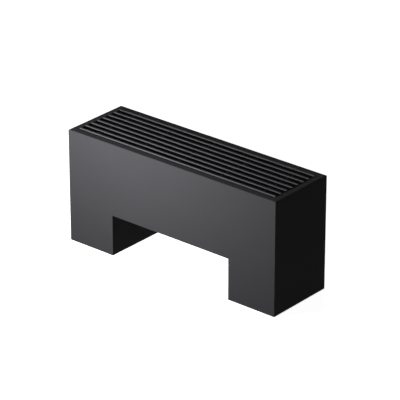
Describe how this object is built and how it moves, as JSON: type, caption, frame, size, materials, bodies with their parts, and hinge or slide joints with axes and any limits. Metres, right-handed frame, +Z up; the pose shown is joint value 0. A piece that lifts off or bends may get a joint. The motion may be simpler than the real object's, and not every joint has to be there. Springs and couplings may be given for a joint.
{
  "type": "floor-standing convector",
  "caption": "Floor-standing hot-water convector: bridge-shaped sheet-steel casing on two box legs, finned coil inside, linear grille that lifts off the top.",
  "frame": {"origin": "on the floor under the middle of the casing", "axes": "+X along the length to the right leg, with the pipe sockets; +Y from the front panel to the back panel; +Z up"},
  "size_m": [0.6, 0.18, 0.28],
  "materials": {
    "casing_paint": "matt powder coat",
    "grille_paint": "matt powder coat",
    "zinc_steel": "galvanised, dull",
    "coil_black": "matt black dip coat",
    "copper": "drawn copper, slightly tarnished",
    "brass": "turned",
    "bush_plastic": "moulded, matt",
    "pad_rubber": "matt"
  },
  "bodies": {
    "casing": {"front_panel": "casing_paint", "back_panel": "casing_paint", "left_end_panel": "casing_paint", "right_end_panel": "casing_paint", "left_leg_inner_panel": "casing_paint", "right_leg_inner_panel": "casing_paint", "left_floor_stand": "zinc_steel", "right_floor_stand": "zinc_steel", "left_cross_brace": "zinc_steel", "right_cross_brace": "zinc_steel", "left_coil_plate": "zinc_steel", "right_coil_plate": "zinc_steel", "socket_bracket": "zinc_steel", "front_air_baffle": "zinc_steel", "back_air_baffle": "zinc_steel", "casing_screws": "zinc_steel", "frame_screws": "zinc_steel", "frame_nuts": "zinc_steel", "fin_pack": "coil_black", "coil_tube_1": "copper", "coil_tube_2": "copper", "coil_tube_3": "copper", "coil_tube_4": "copper", "coil_tube_5": "copper", "coil_tube_6": "copper", "coil_tube_7": "copper", "coil_tube_8": "copper", "left_return_bend_1": "copper", "left_return_bend_2": "copper", "left_return_bend_3": "copper", "left_return_bend_4": "copper", "right_return_bend_1": "copper", "right_return_bend_2": "copper", "right_return_bend_3": "copper", "supply_pipe": "copper", "return_pipe": "copper", "supply_socket": "brass", "return_socket": "brass", "socket_lock_nuts": "brass", "vent_body": "brass", "tube_bushes": "bush_plastic", "grille_pads": "pad_rubber"},
    "grille": {"grille_bar_1": "grille_paint", "grille_bar_2": "grille_paint", "grille_bar_3": "grille_paint", "grille_bar_4": "grille_paint", "grille_bar_5": "grille_paint", "grille_bar_6": "grille_paint", "grille_bar_7": "grille_paint", "grille_bar_8": "grille_paint", "grille_rod_1": "zinc_steel", "grille_rod_2": "zinc_steel", "grille_rod_3": "zinc_steel", "grille_rod_4": "zinc_steel", "grille_rod_5": "zinc_steel", "grille_spacers": "grille_paint"},
    "bleed_screw": {"bleed_screw": "zinc_steel"}
  },
  "joints": [
    {"name": "grille_lift", "type": "slide", "parent": "casing", "child": "grille", "axis": [0, 0, 1], "range_m": [0, 0.12]},
    {"name": "bleed_screw_turn", "type": "hinge", "parent": "casing", "child": "bleed_screw", "pos_m": [0.219, 0.02, 0.213], "axis": [0, 0, 1], "range_deg": [0, 360]}
  ]
}
